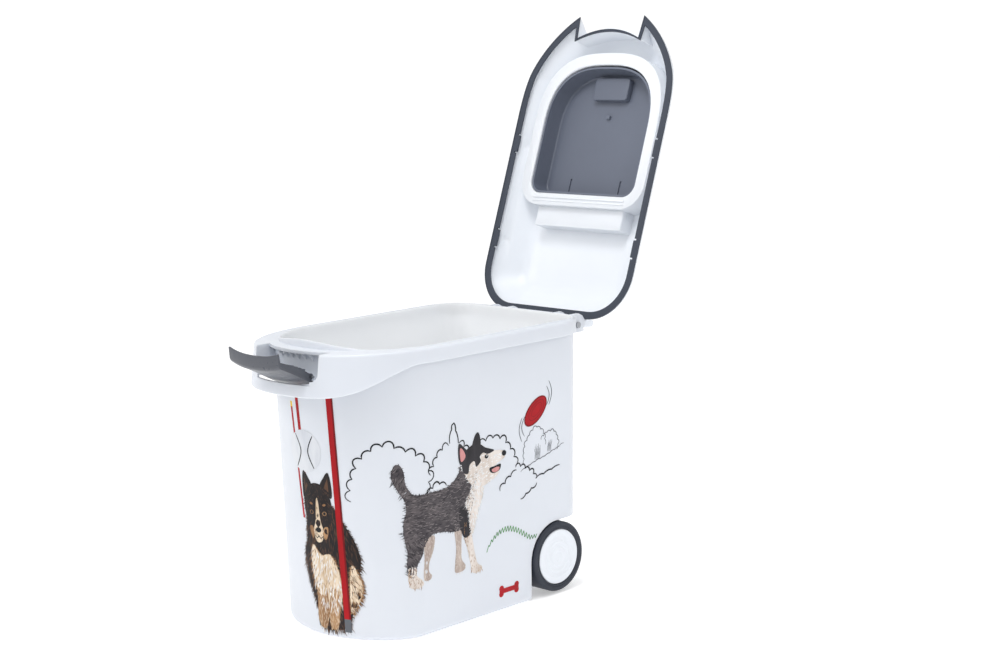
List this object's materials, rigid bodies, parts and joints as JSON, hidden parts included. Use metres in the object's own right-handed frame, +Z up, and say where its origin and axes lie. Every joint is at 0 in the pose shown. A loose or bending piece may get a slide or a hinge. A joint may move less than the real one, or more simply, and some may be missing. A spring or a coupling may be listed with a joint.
{
  "type": "wheeled pet food bin",
  "caption": "Tall rounded pet food bin with an overhanging collar, a hinged lid with a feed flap, a front swing latch and rear wheels.",
  "frame": {"origin": "on the floor under the middle of the tub's width, on the tub's flat underside", "axes": "+Z up; +Y towards the hinge and the wheels; -Y towards the latch; symmetric about the plane x = 0; lid and latch at rest in their open positions"},
  "size_m": [0.278, 0.6996, 0.7584],
  "materials": {
    "white": "moulded white polypropylene, satin gloss",
    "grey": "slate grey polypropylene, fine satin",
    "charcoal": "charcoal polypropylene, satin",
    "tread": "near-black moulded wheel plastic",
    "steel": "plain steel"
  },
  "bodies": {
    "tub": {"tub": "white", "lid_hinge_pin_left": "steel", "lid_hinge_pin_right": "steel", "latch_pin_left": "steel", "latch_pin_right": "steel", "axle_left": "steel", "axle_right": "steel", "axle_retainer_left": "steel", "axle_retainer_right": "steel"},
    "lid": {"lid": "white", "lid_trim": "grey"},
    "flap": {"feed_flap": "grey", "flap_pin_left": "steel", "flap_pin_right": "steel"},
    "latch": {"latch_cover": "charcoal", "latch_lattice": "charcoal"},
    "wheel_left": {"tyre_left": "tread", "wheel_hub_left": "charcoal", "wheel_disc_left": "white"},
    "wheel_right": {"tyre_right": "tread", "wheel_hub_right": "charcoal", "wheel_disc_right": "white"}
  },
  "joints": [
    {"name": "lid_hinge", "type": "hinge", "parent": "tub", "child": "lid", "pos_m": [0, 0.28, 0.3466], "axis": [1, 0, 0], "range_deg": [0, 110]},
    {"name": "flap_hinge", "type": "hinge", "parent": "lid", "child": "flap", "pos_m": [0, 0.39595, 0.47892], "axis": [-1, 0, 0], "range_deg": [0, 100]},
    {"name": "latch_hinge", "type": "hinge", "parent": "tub", "child": "latch", "pos_m": [0, -0.162, 0.3385], "axis": [-1, 0, 0], "range_deg": [0, 68]},
    {"name": "wheel_left_spin", "type": "hinge", "parent": "tub", "child": "wheel_left", "pos_m": [-0.121, 0.189, 0.05], "axis": [1, 0, 0], "continuous": true},
    {"name": "wheel_right_spin", "type": "hinge", "parent": "tub", "child": "wheel_right", "pos_m": [0.121, 0.189, 0.05], "axis": [1, 0, 0], "continuous": true}
  ]
}
